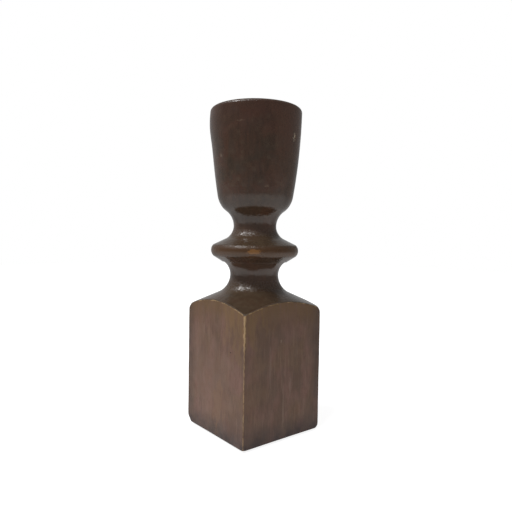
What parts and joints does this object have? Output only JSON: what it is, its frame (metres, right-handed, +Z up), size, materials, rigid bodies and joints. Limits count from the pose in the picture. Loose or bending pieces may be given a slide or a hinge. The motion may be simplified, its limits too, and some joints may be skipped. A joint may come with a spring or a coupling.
{
  "type": "candlestick",
  "caption": "Turned dark wood candlestick: square block foot, waisted neck, disc and tapered cup, with a brass-lined hole for a standard candle and felt underneath.",
  "frame": {"origin": "centre of the felt's underside, which rests on the table", "axes": "+Z up along the turning axis; the block's flat faces look along X and Y"},
  "size_m": [0.0508, 0.0508, 0.1716],
  "materials": {
    "stained_block_wood": "dark walnut stain, matt on the flat faces, lacquered on the turned shoulder",
    "lacquered_turned_wood": "dark red-brown stain under worn gloss lacquer",
    "spun_brass": "drawn brass, dulled by use",
    "screw_brass": "plain",
    "baize": "green baize felt"
  },
  "bodies": {
    "root": {"base_block": "stained_block_wood", "stem_and_cup": "lacquered_turned_wood", "brass_liner": "spun_brass", "liner_screw": "screw_brass", "felt_pad": "baize"}
  },
  "joints": []
}
